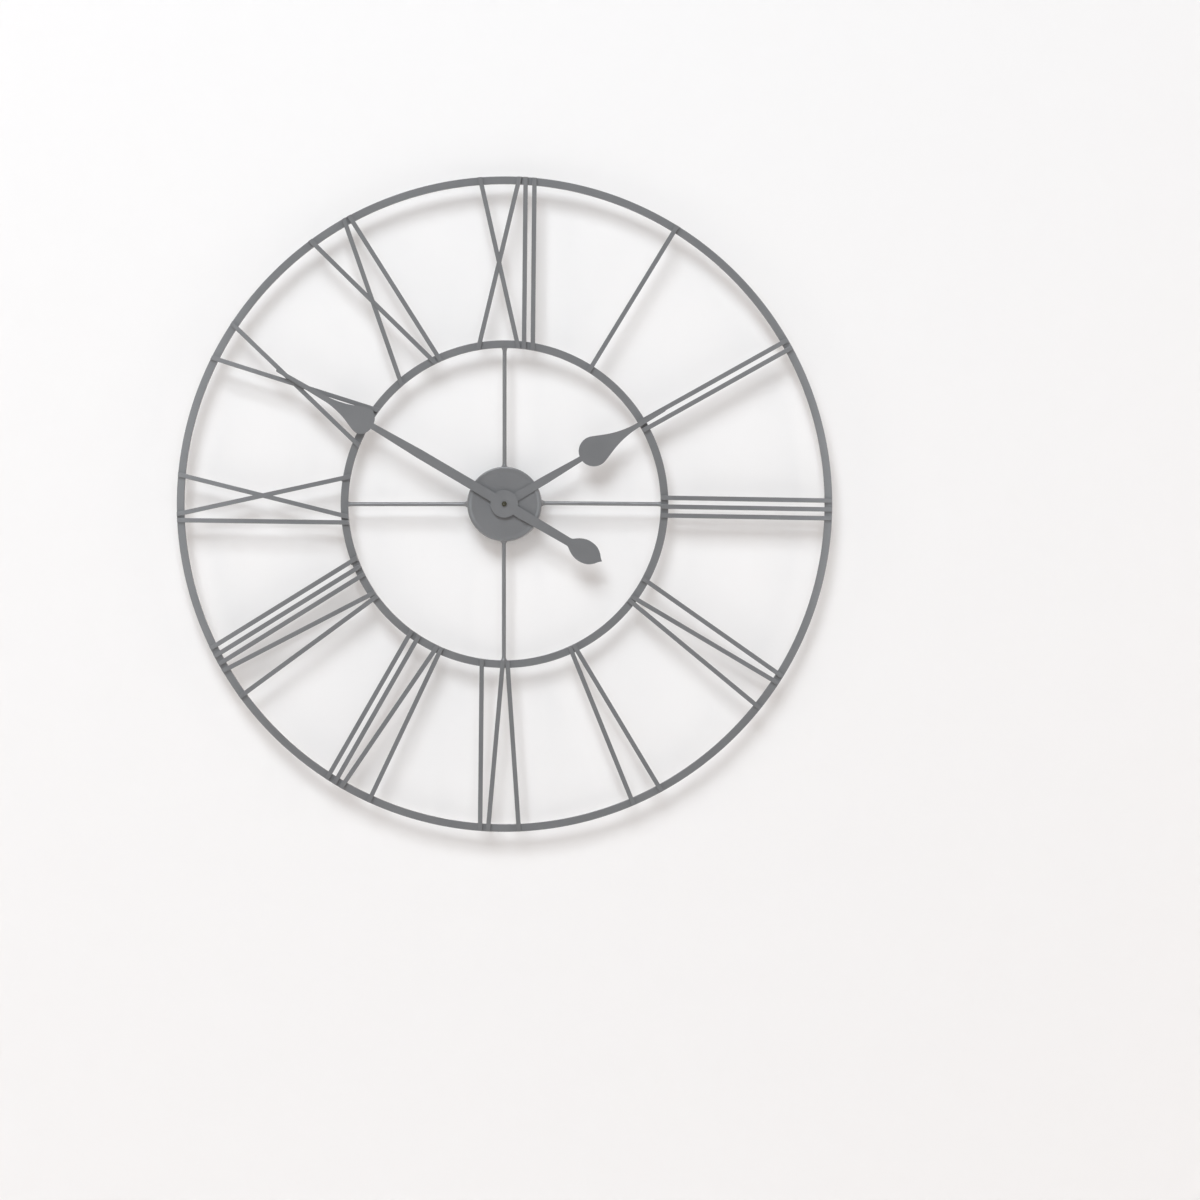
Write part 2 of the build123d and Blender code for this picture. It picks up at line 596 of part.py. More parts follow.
def tail_outline():
    """Plain arm with a leaf-shaped counterweight."""
    line = [Line(TAIL_STEM[0], TAIL_STEM[1])]
    line.append(Spline(TAIL_STEM[1], TAIL_WIDEST, tangents=[(0.45, 1.0), (1.0, 0.0)]))
    line.append(Spline(TAIL_WIDEST, (TAIL_TIP, 0), tangents=[(1.0, 0.0), (0.55, -1.0)]))
    return whole_outline(line, TAIL_STEM[0][1], TAIL_TIP)


def hour_hand():
    outline = Rot(0, 0, 90 - HOUR_ANGLE) * pointer_outline(HOUR_SHAPE) + Circle(BOSS_R)
    return slab(outline - Circle(HOUR_SPIGOT_R), HOUR_PLATE, HOUR_PLATE + HAND_SHEET)


def minute_hand():
    outline = Rot(0, 0, 90 - MINUTE_ANGLE) * pointer_outline(MINUTE_SHAPE) + Circle(BOSS_R)
    outline = outline + Rot(0, 0, 270 - MINUTE_ANGLE) * tail_outline()
    return slab(outline - Circle(MINUTE_SPIGOT_R), MINUTE_PLATE, MINUTE_PLATE + HAND_SHEET)


def hand_bush(collar_r, spigot_r, bore_r, plate_back, collar_long):
    """Brass bush riveted into a hand: a collar behind the plate and a spigot through it."""
    collar = disc(collar_r, plate_back - collar_long, plate_back)
    spigot = disc(spigot_r, plate_back - 0.2, plate_back + HAND_SHEET)
    return collar + spigot - disc(bore_r, plate_back - collar_long - 1, plate_back + HAND_SHEET + 1)


def hand_nut():
    """Small open hexagon nut on the threaded tip of the minute shaft."""
    back = MINUTE_PLATE + HAND_SHEET
    return slab(RegularPolygon(3.3, 6) - Circle(SHAFT_TIP_R), back, back + HAND_NUT_THICK)


# ---------------------------------------------------------------- one file for each piece
def main():
    os.makedirs("parts", exist_ok=True)
    save(ring(DIAL_OD), "outer_ring")
    save(ring(INNER_RING_OD), "inner_ring")
    for hour in NUMERALS:
        save(numeral(hour), "numeral_" + str(hour))
    for hour in SPOKES:
        save(spoke(hour), "spoke_" + str(hour))
    pieces = {"hub_pan": hub_pan(), "hanger_plate": hanger_plate(), "rubber_gasket": rubber_gasket(),
              "brass_washer": brass_washer(), "neck_nut": neck_nut(), "movement_case": movement_case(),
              "back_cover": back_cover(), "train_bridge": train_bridge(), "battery": battery(),
              "positive_contact": contact_plate(1), "negative_spring": negative_spring(),
              "circuit_board": circuit_board(), "chip_blob": chip_blob(),
              "quartz_crystal": quartz_crystal(), "stator": stator(), "coil_core": coil_core(),
              "coil_bobbin": coil_bobbin(), "coil_winding": coil_winding(),
              "rotor_magnet": rotor_magnet(), "rotor_pinion": rotor_pinion(),
              "step_wheel": step_wheel(), "second_wheel": second_wheel(), "third_wheel": third_wheel(),
              "minute_arbor": minute_arbor(), "motion_wheel": motion_wheel(),
              "setting_knob": setting_knob(), "hour_wheel": hour_wheel(), "hour_hand": hour_hand(),
              "hour_hand_bush": hand_bush(4.5, HOUR_SPIGOT_R, HOUR_TUBE_R, HOUR_PLATE, 0.8),
              "minute_hand": minute_hand(),
              "minute_hand_bush": hand_bush(4.0, MINUTE_SPIGOT_R, MINUTE_SHAFT_R, MINUTE_PLATE, 0.6),
              "hand_nut": hand_nut()}
    for node, shape in pieces.items():
        save(shape, node)


main()
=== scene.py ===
# %% [markdown]
# # An open-work wall clock
# Two flat steel rings, twelve numerals made of straight bars welded across them, four thin spokes, a round
# hub pan that hides a quartz movement, and two sheet hands with round-bellied pointers. All the steel is
# sprayed in one satin mid-grey paint.
#
# The clock's solid model is loaded first as a fixed frame, in metres: +Z is up towards twelve, +X points to
# three, and the dial looks along -Y with the wall behind it. What is made here is placed by measuring that
# frame, so that nothing has to be fitted by eye.

# %% Load the fixed frame
import json
import math

import bpy
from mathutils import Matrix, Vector


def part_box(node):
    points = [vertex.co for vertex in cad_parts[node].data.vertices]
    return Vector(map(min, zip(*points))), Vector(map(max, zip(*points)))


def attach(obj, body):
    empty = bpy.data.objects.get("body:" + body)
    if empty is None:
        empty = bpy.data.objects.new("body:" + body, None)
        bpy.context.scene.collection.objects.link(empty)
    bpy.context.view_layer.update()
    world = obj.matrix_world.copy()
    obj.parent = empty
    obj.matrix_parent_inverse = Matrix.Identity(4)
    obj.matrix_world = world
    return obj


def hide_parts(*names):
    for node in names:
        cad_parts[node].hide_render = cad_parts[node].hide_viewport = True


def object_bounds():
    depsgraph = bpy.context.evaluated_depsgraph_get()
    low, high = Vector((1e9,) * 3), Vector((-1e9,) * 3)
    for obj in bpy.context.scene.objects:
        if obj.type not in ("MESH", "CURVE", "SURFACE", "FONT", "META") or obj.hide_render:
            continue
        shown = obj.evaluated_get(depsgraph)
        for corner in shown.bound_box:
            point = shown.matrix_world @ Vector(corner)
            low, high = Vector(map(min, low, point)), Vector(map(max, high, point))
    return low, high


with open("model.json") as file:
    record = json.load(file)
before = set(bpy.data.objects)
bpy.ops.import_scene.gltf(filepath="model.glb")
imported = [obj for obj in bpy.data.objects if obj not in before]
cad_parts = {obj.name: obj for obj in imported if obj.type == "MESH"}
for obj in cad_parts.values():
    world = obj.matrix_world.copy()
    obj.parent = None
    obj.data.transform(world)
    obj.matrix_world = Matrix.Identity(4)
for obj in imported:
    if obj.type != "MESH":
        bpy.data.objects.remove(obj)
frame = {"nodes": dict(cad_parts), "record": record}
cad_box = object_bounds()
nodes = frame["nodes"]
MM = 0.001
print("pieces in the frame:", len(nodes))

# %% [markdown]
# ## Camera
# The clock is seen straight on, from about three metres, by a camera a little to the right of the hub and
# below it. A long lens keeps the rings round. The lens is worked out from the width that has to be in view at
# the depth of the ring's face.

# %% The camera
CAMERA_RIGHT = 0.1165
CAMERA_UP = -0.117
CAMERA_BACK = 3.0
SEEN_WIDTH = 1.464
SENSOR = 36.0

ring_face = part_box("outer_ring")[0].y
bpy.ops.object.camera_add(location=(CAMERA_RIGHT, -CAMERA_BACK, CAMERA_UP),
                          rotation=(math.pi / 2, 0, 0))
camera = bpy.context.object
camera.name = "viewpoint"
camera.data.sensor_width = SENSOR
camera.data.lens = SENSOR * (CAMERA_BACK + ring_face) / SEEN_WIDTH
bpy.context.scene.camera = camera
print("lens:", round(camera.data.lens, 1), "mm")

# %% [markdown]
# ## Selecting before every step
# An operator acts on everything that is selected, and the loaded frame arrives selected. So each step starts
# by selecting nothing, and then picks the one piece that it works on.

# %% Helpers for selecting
def start_clean():
    """Nothing selected, and no piece open for editing."""
    if bpy.context.object and bpy.context.object.mode != "OBJECT":
        bpy.ops.object.mode_set(mode="OBJECT")
    bpy.ops.object.select_all(action="DESELECT")


def pick(piece):
    start_clean()
    bpy.context.view_layer.objects.active = piece
    piece.select_set(True)


def open_for_edit(piece, kind="VERT", everything=True):
    pick(piece)
    bpy.ops.object.mode_set(mode="EDIT")
    bpy.ops.mesh.select_mode(type=kind)
    bpy.ops.mesh.select_all(action="SELECT" if everything else "DESELECT")


def extrude_by(x, y, z):
    bpy.ops.mesh.extrude_region_move(TRANSFORM_OT_translate={"value": (x, y, z)})


# %% [markdown]
# ## The stage
# A pale wall behind the clock turns forward into a pale floor well below it. The wall lets light and view
# through from its back, so that the back of the clock can be looked at too. It isn't part of the object.

# %% Wall and floor
WALL_HALF = 4.0
FLOOR_BELOW = -1.6
WALL_GAP = 0.0002
WALL_COLOUR = (0.86, 0.85, 0.843, 1.0)
wall_plane = cad_box[1].y + WALL_GAP

start_clean()
bpy.ops.mesh.primitive_plane_add(size=2 * WALL_HALF, rotation=(math.pi / 2, 0, 0),
                                 location=(0, wall_plane, FLOOR_BELOW + WALL_HALF))
stage = bpy.context.object
stage.name = "wall_and_floor"
bpy.ops.object.transform_apply(location=True, rotation=True, scale=True)
open_for_edit(stage, "VERT", False)
bpy.ops.object.mode_set(mode="OBJECT")
for corner in stage.data.vertices:
    corner.select = corner.co.z < FLOOR_BELOW + WALL_HALF
for edge in stage.data.edges:
    edge.select = all(stage.data.vertices[v].select for v in edge.vertices)
bpy.ops.object.mode_set(mode="EDIT")
bpy.ops.mesh.select_mode(type="EDGE")
extrude_by(0, -2 * WALL_HALF, 0)
bpy.ops.object.mode_set(mode="OBJECT")
print("wall at y =", round(wall_plane, 4))

# %% [markdown]
# The wall is plain chalky paint, so a diffuse shader is enough. A clear shader takes over on the wall's back
# and for shadow rays, so that the wall hides nothing from behind and the light there still reaches the clock.

# %% Chalky wall that is clear from behind
wall_finish = bpy.data.materials.new("pale_wall")
wall_finish.use_nodes = True
tree = wall_finish.node_tree
tree.nodes.clear()
out = tree.nodes.new("ShaderNodeOutputMaterial")
chalk = tree.nodes.new("ShaderNodeBsdfDiffuse")
chalk.inputs["Color"].default_value = WALL_COLOUR
clear = tree.nodes.new("ShaderNodeBsdfTransparent")
sides = tree.nodes.new("ShaderNodeNewGeometry")
rays = tree.nodes.new("ShaderNodeLightPath")
either = tree.nodes.new("ShaderNodeMath")
either.operation = "MAXIMUM"
mix = tree.nodes.new("ShaderNodeMixShader")
tree.links.new(sides.outputs["Backfacing"], either.inputs[0])
tree.links.new(rays.outputs["Is Shadow Ray"], either.inputs[1])
tree.links.new(either.outputs[0], mix.inputs[0])
tree.links.new(chalk.outputs[0], mix.inputs[1])
tree.links.new(clear.outputs[0], mix.inputs[2])
tree.links.new(mix.outputs[0], out.inputs["Surface"])
stage.data.materials.append(wall_finish)
print("stage finish:", wall_finish.name)

# %% [markdown]
# ## Light
# One large soft light stands high in front of the wall, a little to the left, like a tall window. It throws
# the soft shadow of each strip down and slightly to the right. It is a little cool. Two tall panels at the
# sides draw thin bright lines along rods and rounded rims. Two weak ones in front mirror softly in the satin
# paint at three and nine, and one light behind shows the back of a turned clock.

# %% Soft studio light
COOL, WARM = (0.89, 0.95, 1.0), (1.0, 0.9, 0.84)
LIGHTS = {"key": ((-0.8, -3.75, 3.66), (2.8, 2.3), 198.0, COOL),
          "left_panel": ((-2.5, -1.1, 0.1), (0.9, 2.4), 11.5, WARM),
          "right_panel": ((2.7, -1.1, 0.0), (0.9, 2.4), 13.0, WARM),
          "left_window": ((-1.25, -3.3, 0.3), (0.9, 1.2), 6.4, COOL),
          "right_window": ((1.05, -3.3, 0.3), (0.8, 1.2), 7.4, COOL),
          "behind": ((0.5, 3.2, 0.9), (1.8, 1.8), 120.0, WARM)}

for name, (place, size, power, colour) in LIGHTS.items():
    bpy.ops.object.light_add(type="AREA", location=place)
    lamp = bpy.context.object
    lamp.name = name
    lamp.rotation_euler = (-Vector(place)).to_track_quat("-Z", "Y").to_euler()
    lamp.data.shape = "RECTANGLE"
    lamp.data.size, lamp.data.size_y = size
    lamp.data.energy = power
    lamp.data.color = colour
    lamp.visible_camera = False
print("lights:", len(LIGHTS))

# %% [markdown]
# The even surrounding that fills the rest is a little warm, so the shadows are warmer than the wall. It is
# dimmer below the horizon, as over a floor. Where it is looked at directly, it is a plain pale grey.

# %% Surrounding light
SURROUND = 0.24
BELOW, ABOVE = 0.4 * SURROUND, 1.25 * SURROUND
HORIZON = 0.35
BACKDROP = (0.62, 0.62, 0.61, 1.0)

world = bpy.data.worlds.new("pale_room")
bpy.context.scene.world = world
world.use_nodes = True
sky = world.node_tree
sky.nodes["Background"].inputs["Color"].default_value = (*WARM, 1.0)
direction = sky.nodes.new("ShaderNodeTexCoord")
height = sky.nodes.new("ShaderNodeSeparateXYZ")
dimmer = sky.nodes.new("ShaderNodeMapRange")
dimmer.inputs["From Min"].default_value, dimmer.inputs["From Max"].default_value = -HORIZON, HORIZON
dimmer.inputs["To Min"].default_value, dimmer.inputs["To Max"].default_value = BELOW, ABOVE
sky.links.new(direction.outputs["Generated"], height.inputs[0])
sky.links.new(height.outputs["Z"], dimmer.inputs["Value"])
sky.links.new(dimmer.outputs["Result"], sky.nodes["Background"].inputs["Strength"])
pale = sky.nodes.new("ShaderNodeBackground")
pale.inputs["Color"].default_value = BACKDROP
seen = sky.nodes.new("ShaderNodeLightPath")
choice = sky.nodes.new("ShaderNodeMixShader")
sky.links.new(seen.outputs["Is Camera Ray"], choice.inputs[0])
sky.links.new(sky.nodes["Background"].outputs[0], choice.inputs[1])
sky.links.new(pale.outputs[0], choice.inputs[2])
sky.links.new(choice.outputs[0], sky.nodes["World Output"].inputs["Surface"])
bpy.context.scene.view_settings.view_transform = "Standard"
print("surrounding:", world.name, "from", round(BELOW, 3), "to", round(ABOVE, 3))

# %% [markdown]
# ## Finishes
# A finish is never one flat colour. Each starts from two close colours that a soft noise mixes, a roughness
# that wanders a little, and two bumps: one for the waviness of the surface and one for its grain. The noise
# reads the object's own coordinates in metres, so a scale of 1000 is a grain of about a millimetre.

# %% A finish with mottled colour, wandering roughness and two bumps
COAT_ROUGHNESS = 0.15


def finish(name, dark, light, metallic=0.0, rough=(0.4, 0.5), mottle=30.0, wave=(600.0, 0.1, 0.0002),
           grain=(4000.0, 0.1, 0.00005), coat=0.0, specular=0.5):
    material = bpy.data.materials.new(name)
    material.use_nodes = True
    tree = material.node_tree
    shader = tree.nodes["Principled BSDF"]
    shader.inputs["Metallic"].default_value = metallic
    shader.inputs["Coat Weight"].default_value = coat
    shader.inputs["Coat Roughness"].default_value = COAT_ROUGHNESS
    shader.inputs["Specular IOR Level"].default_value = specular
    place = tree.nodes.new("ShaderNodeTexCoord").outputs["Object"]

    def noise(scale, detail):
        texture = tree.nodes.new("ShaderNodeTexNoise")
        texture.inputs["Scale"].default_value = scale
        texture.inputs["Detail"].default_value = detail
        tree.links.new(place, texture.inputs["Vector"])
        return texture.outputs["Fac"]

    blotches = noise(mottle, 4.0)
    ramp = tree.nodes.new("ShaderNodeValToRGB")
    ramp.color_ramp.elements[0].position = 0.3
    ramp.color_ramp.elements[0].color = (*dark, 1.0)
    ramp.color_ramp.elements[1].position = 0.7
    ramp.color_ramp.elements[1].color = (*light, 1.0)
    tree.links.new(blotches, ramp.inputs["Fac"])
    tree.links.new(ramp.outputs["Color"], shader.inputs["Base Color"])
    spread = tree.nodes.new("ShaderNodeMapRange")
    spread.inputs["To Min"].default_value, spread.inputs["To Max"].default_value = rough
    tree.links.new(noise(mottle * 2.3, 3.0), spread.inputs["Value"])
    tree.links.new(spread.outputs["Result"], shader.inputs["Roughness"])
    below = None
    for scale, strength, depth in (wave, grain):
        bump = tree.nodes.new("ShaderNodeBump")
        bump.inputs["Strength"].default_value = strength
        bump.inputs["Distance"].default_value = depth
        tree.links.new(noise(scale, 2.0), bump.inputs["Height"])
        if below:
            tree.links.new(below, bump.inputs["Normal"])
        below = bump.outputs["Normal"]
    tree.links.new(below, shader.inputs["Normal"])
    return material


def add_lines(material, kind, direction, spacing, strength, depth, centre=(0.0, 0.0, 0.0)):
    """Fine tool lines or wound wire laid over a finish: rings round an axis, or straight bands."""
    tree = material.node_tree
    shader = tree.nodes["Principled BSDF"]
    place = tree.nodes.new("ShaderNodeTexCoord").outputs["Object"]
    shift = tree.nodes.new("ShaderNodeMapping")
    shift.inputs["Location"].default_value = [-c for c in centre]
    wave = tree.nodes.new("ShaderNodeTexWave")
    wave.wave_type = kind
    if kind == "RINGS":
        wave.rings_direction = direction
    else:
        wave.bands_direction = direction
    wave.inputs["Scale"].default_value = 2 * math.pi / (20 * spacing)
    wave.inputs["Distortion"].default_value = 0.6
    bump = tree.nodes.new("ShaderNodeBump")
    bump.inputs["Strength"].default_value = strength
    bump.inputs["Distance"].default_value = depth
    tree.links.new(place, shift.inputs["Vector"])
    tree.links.new(shift.outputs["Vector"], wave.inputs["Vector"])
    tree.links.new(wave.outputs["Fac"], bump.inputs["Height"])
    tree.links.new(shader.inputs["Normal"].links[0].from_socket, bump.inputs["Normal"])
    tree.links.new(bump.outputs["Normal"], shader.inputs["Normal"])
    return material


# %% [markdown]
# ## The finishes of this clock
# The grey paint is baked on as powder. It flows out into a faint orange peel of about two millimetres and
# keeps a satin sheen. The other finishes are those of an ordinary quartz movement: spark-textured black
# plastic, milky acetal wheels, turned brass, stamped iron, enamelled copper wire and nickel plate. The brass
# in the middle of the hands has darkened. Its nut gets a near-black brass, which is painted shade for the
# dark hollow in the middle of the hands.

# %% The finishes of this clock
finishes = {
    "grey_paint": finish("satin_grey_paint", (0.152, 0.156, 0.161), (0.17, 0.174, 0.179),
                         rough=(0.42, 0.5), mottle=22.0, wave=(520.0, 0.16, 0.00025),
                         grain=(2600.0, 0.07, 0.00006), specular=0.35, coat=1.0),
    "rubber": finish("matt_rubber", (0.018, 0.018, 0.018), (0.032, 0.031, 0.03), rough=(0.75, 0.9),
                     mottle=90.0),
    "brass": add_lines(finish("turned_brass", (0.5, 0.36, 0.14), (0.66, 0.5, 0.22), metallic=1.0,
                              rough=(0.28, 0.42), mottle=160.0), "RINGS", "Y", 0.00022, 0.25, 0.00002),
    "black_plastic": finish("spark_black_plastic", (0.026, 0.026, 0.028), (0.04, 0.04, 0.043),
                            rough=(0.5, 0.62), mottle=60.0, wave=(1900.0, 0.35, 0.00012),
                            grain=(5200.0, 0.3, 0.00006)),
    "white_plastic": finish("milky_acetal", (0.66, 0.65, 0.6), (0.76, 0.75, 0.71), rough=(0.3, 0.4),
                            mottle=70.0, grain=(2500.0, 0.05, 0.00004)),
    "magnet": finish("ground_magnet", (0.07, 0.07, 0.075), (0.12, 0.12, 0.125), metallic=0.6,
                     rough=(0.45, 0.6), mottle=400.0, grain=(6000.0, 0.3, 0.00004)),
    "soft_iron": add_lines(finish("stamped_iron", (0.36, 0.36, 0.37), (0.48, 0.48, 0.48), metallic=1.0,
                                  rough=(0.32, 0.45), mottle=200.0), "BANDS", "X", 0.0003, 0.15, 0.00002),
    "copper": add_lines(finish("enamelled_copper", (0.42, 0.15, 0.06), (0.6, 0.26, 0.1), metallic=1.0,
                               rough=(0.25, 0.35), mottle=260.0, coat=0.6),
                        "BANDS", "X", 0.00014, 0.8, 0.00006),
    "board": finish("green_board", (0.02, 0.1, 0.04), (0.05, 0.19, 0.08), rough=(0.28, 0.4),
                    mottle=420.0, wave=(700.0, 0.1, 0.00008), coat=0.3),
    "resin": finish("black_resin", (0.006, 0.006, 0.006), (0.014, 0.013, 0.012), rough=(0.12, 0.24),
                    mottle=300.0),
    "nickel": finish("nickel_plate", (0.58, 0.56, 0.52), (0.72, 0.7, 0.66), metallic=1.0,
                     rough=(0.18, 0.3), mottle=150.0),
    "battery_jacket": finish("battery_sleeve", (0.03, 0.06, 0.11), (0.04, 0.075, 0.13),
                             rough=(0.22, 0.3), mottle=50.0, coat=0.5),
}
# The nut's near-black brass is painted shade: it stands for the dark hollow in the middle of the hands.
nut_shade_brass = finish("near_black_brass_painted_shade", (0.05, 0.048, 0.034), (0.095, 0.09, 0.06), metallic=0.85,
                   rough=(0.35, 0.5), mottle=500.0)
tarnished = add_lines(finish("tarnished_brass", (0.16, 0.155, 0.12), (0.24, 0.23, 0.17), metallic=0.8,
                             rough=(0.4, 0.5), mottle=400.0), "RINGS", "Y", 0.0002, 0.2, 0.00002)
slot_of = {part["node"]: part["material_slot"] for part in frame["record"]["subparts"]}


def dress(piece, material):
    piece.data.materials.clear()
    piece.data.materials.append(material)


for name, node in nodes.items():
    dress(node, finishes[slot_of[name]])
dress(nodes["minute_arbor"], tarnished)
print("finishes:", len(finishes), "and", nut_shade_brass.name, "and", tarnished.name)

# %% [markdown]
# ## Finishing a piece
# A new piece is closed by merging the points that meet, its faces are turned outwards, and its place is put
# into its mesh so that the object itself stays at the origin. Edges of real metal are never quite sharp: a
# narrow bevel catches the light. Weighted normals then keep the broad faces flat right up to that bevel.

# %% Helpers that close, soften and hand over a piece
MERGE_GAP = 1e-6


def close_up(piece, gap=MERGE_GAP):
    pick(piece)
    bpy.ops.object.transform_apply(location=True, rotation=True, scale=True)
    open_for_edit(piece)
    bpy.ops.mesh.remove_doubles(threshold=gap)
    bpy.ops.mesh.normals_make_consistent(inside=False)
    bpy.ops.object.mode_set(mode="OBJECT")
    return piece


def soften(piece, width, segments=2, sharper_than=35.0):
    pick(piece)
    bevel = piece.modifiers.new("soft_edges", "BEVEL")
    bevel.width = width
    bevel.segments = segments
    bevel.limit_method = "ANGLE"
    bevel.angle_limit = math.radians(sharper_than)
    bevel.use_clamp_overlap = True
    bpy.ops.object.modifier_apply(modifier="soft_edges")
    return piece


def shade(piece, smooth_below=50.0):
    pick(piece)
    bpy.ops.object.shade_smooth_by_angle(angle=math.radians(smooth_below))
    weighted = piece.modifiers.new("flat_faces", "WEIGHTED_NORMAL")
    weighted.keep_sharp = True
    bpy.ops.object.modifier_apply(modifier="flat_faces")
    return piece


def join(pieces, name):
    start_clean()
    for piece in pieces:
        piece.select_set(True)
    bpy.context.view_layer.objects.active = pieces[0]
    bpy.ops.object.join()
    whole = bpy.context.object
    whole.name = name
    return whole


def hand_over(piece, material, body, slot, *stands_for):
    """Gives the piece its finish, lets it ride on its body and hides the solids that it stands for."""
    dress(piece, material)
    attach(piece, body)
    if stands_for:
        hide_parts(*stands_for)
    print(piece.name + ":", len(piece.data.polygons), "faces")
    return piece


# %% [markdown]
# ## The two rings
# Each ring is flat strip, rolled on edge into a hoop, with slightly rounded corners from the mill. A torus or
# a cut disc would give the wrong section. So the strip's own section is drawn once as a small rectangle, its
# corners are bevelled, its face is dropped, and the outline is spun once round the hub.

# %% Rolled strip, spun round the hub
RING_STEPS = 300
STRIP_CORNER = 0.0006


def bore_of(node):
    """Smallest distance of a solid's points from the hub's axis."""
    return min(math.hypot(v.co.x, v.co.z) for v in nodes[node].data.vertices)


def rolled_strip(name, node):
    low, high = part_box(node)
    outside = (high.z - low.z) / 2
    inside = bore_of(node)
    middle = ((outside + inside) / 2, (low.y + high.y) / 2, 0)
    start_clean()
    bpy.ops.mesh.primitive_plane_add(size=1.0, location=middle)
    strip = bpy.context.object
    strip.name = name
    open_for_edit(strip)
    bpy.ops.transform.resize(value=(outside - inside, high.y - low.y, 1.0),
                             center_override=strip.location)
    bpy.ops.mesh.bevel(offset=STRIP_CORNER, segments=3, affect="VERTICES")
    bpy.ops.mesh.select_all(action="SELECT")
    bpy.ops.mesh.delete(type="ONLY_FACE")
    bpy.ops.mesh.select_all(action="SELECT")
    bpy.ops.mesh.spin(steps=RING_STEPS, angle=2 * math.pi, center=(0, 0, 0), axis=(0, 1, 0))
    close_up(strip)
    print(name, "strip face:", round((outside - inside) / MM, 2), "mm")
    return shade(strip)


for node in ("outer_ring", "inner_ring"):
    strip = rolled_strip(node.replace("ring", "strip_ring"), node)
    hand_over(strip, finishes["grey_paint"], "frame", "grey_paint", node)

# %% [markdown]
# ## Turned pieces
# Round pieces such as the pan, the washer or the battery are turned: half of the outline is drawn as a line of
# points, from one point that is extruded from place to place, and then spun about the axis. The point comes
# from a plane that is merged to its middle. Outlines are given in millimetres: distance from the axis, and
# place along it.

# %% A lathe
def single_point(name):
    """A new piece, open for editing, that is one point at the origin."""
    start_clean()
    bpy.ops.mesh.primitive_plane_add(size=MM)
    piece = bpy.context.object
    piece.name = name
    open_for_edit(piece)
    bpy.ops.mesh.merge(type="CENTER")
    return piece


def turned(name, outline, steps, along="Y", centre=(0.0, 0.0, 0.0), closed=False):
    piece = single_point(name)

    def spot(radius, travel):
        if along == "Y":
            return Vector((radius * MM, travel * MM, 0.0))
        return Vector((travel * MM, 0.0, radius * MM))

    here = spot(*outline[0])
    bpy.ops.transform.translate(value=here)
    stops = list(outline[1:]) + ([outline[0]] if closed else [])
    for stop in stops:
        there = spot(*stop)
        extrude_by(*(there - here))
        here = there
    bpy.ops.mesh.select_all(action="SELECT")
    axis = (0, 1, 0) if along == "Y" else (1, 0, 0)
    bpy.ops.mesh.spin(steps=steps, angle=2 * math.pi, center=(0, 0, 0), axis=axis)
    bpy.ops.object.mode_set(mode="OBJECT")
    piece.location = centre
    return close_up(piece)


def rounded(radius, centre_r, centre_y, start, end, count):
    """Points of a corner: angles in degrees from straight outwards towards the viewer."""
    points = []
    for index in range(count + 1):
        angle = math.radians(start + (end - start) * index / count)
        points.append((centre_r + radius * math.cos(angle), centre_y - radius * math.sin(angle)))
    return points


# %% [markdown]
# ## The hub pan
# The pan is pressed from sheet: a deep round wall, a rounded front corner, a low rounded rim and a face set
# back a little inside it. A seat is pressed into the middle for the nut of the movement. Only the front skin
# is drawn and spun. Solidify then gives it the thickness of the sheet, which closes it all round.

# %% Press the hub pan
PAN_SHEET = 1.2
PAN_STEPS = 192
RIM_ROUND = 2.0
RIM_HEIGHT = 0.5
NECK_HOLE = 4.3
SEAT_R = 12.6
pan_low, pan_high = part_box("hub_pan")
pan_r = (pan_high.x - pan_low.x) / 2 / MM
rim_y = pan_low.y / MM
wall_y = pan_high.y / MM
face_y = rim_y + RIM_HEIGHT
seat_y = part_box("brass_washer")[1].y / MM

pan_outline = [(pan_r - 0.25, wall_y), (pan_r, wall_y - 0.35)]
pan_outline += rounded(RIM_ROUND, pan_r - RIM_ROUND, rim_y + RIM_ROUND, 0, 90, 8)
pan_outline += [(pan_r - 2.5, rim_y + 0.02), (pan_r - 3.2, rim_y + 0.1), (pan_r - 4.0, rim_y + 0.23),
                (pan_r - 4.9, rim_y + 0.38), (pan_r - 5.7, rim_y + 0.47), (pan_r - 6.5, face_y)]
pan_outline += [(30.0, face_y), (SEAT_R + 1.2, face_y)]
pan_outline += [(SEAT_R + 0.6, face_y + 0.1), (SEAT_R + 0.2, face_y + 0.4), (SEAT_R, face_y + 0.9)]
pan_outline += [(SEAT_R, seat_y - 0.8), (SEAT_R - 0.25, seat_y - 0.25), (SEAT_R - 0.8, seat_y)]
pan_outline += [(8.0, seat_y), (NECK_HOLE, seat_y)]
pan = turned("pressed_hub_pan", pan_outline, PAN_STEPS)
pick(pan)
sheet = pan.modifiers.new("sheet", "SOLIDIFY")
sheet.thickness = PAN_SHEET * MM
sheet.offset = -1.0
sheet.use_even_offset = True
bpy.ops.object.modifier_apply(modifier="sheet")
shade(pan)
hand_over(pan, finishes["grey_paint"], "frame", "grey_paint", "hub_pan")

# %% [markdown]
# ## Spokes
# A spoke is a plain round rod. What makes it real are its ends: a small fillet of weld flows from the rod onto
# the pan's wall, and a smaller one onto the ring. The rod is drawn upright as a circle that is extruded from
# station to station and widened near both ends. It is then laid along the line of the solid spoke. Stations
# are in millimetres: distance from the rod's end, and radius.

# %% Rods with welded ends
def end_middle(node, near_hub):
    """Middle of a spoke's end, from the solid's points nearest to the hub or farthest from it."""
    points = [v.co for v in nodes[node].data.vertices]
    reach = [math.hypot(p.x, p.z) for p in points]
    limit = min(reach) + MM if near_hub else max(reach) - MM
    chosen = [p for p, r in zip(points, reach) if (r <= limit if near_hub else r >= limit)]
    low = Vector([min(p[i] for p in chosen) for i in range(3)])
    high = Vector([max(p[i] for p in chosen) for i in range(3)])
    return (low + high) / 2


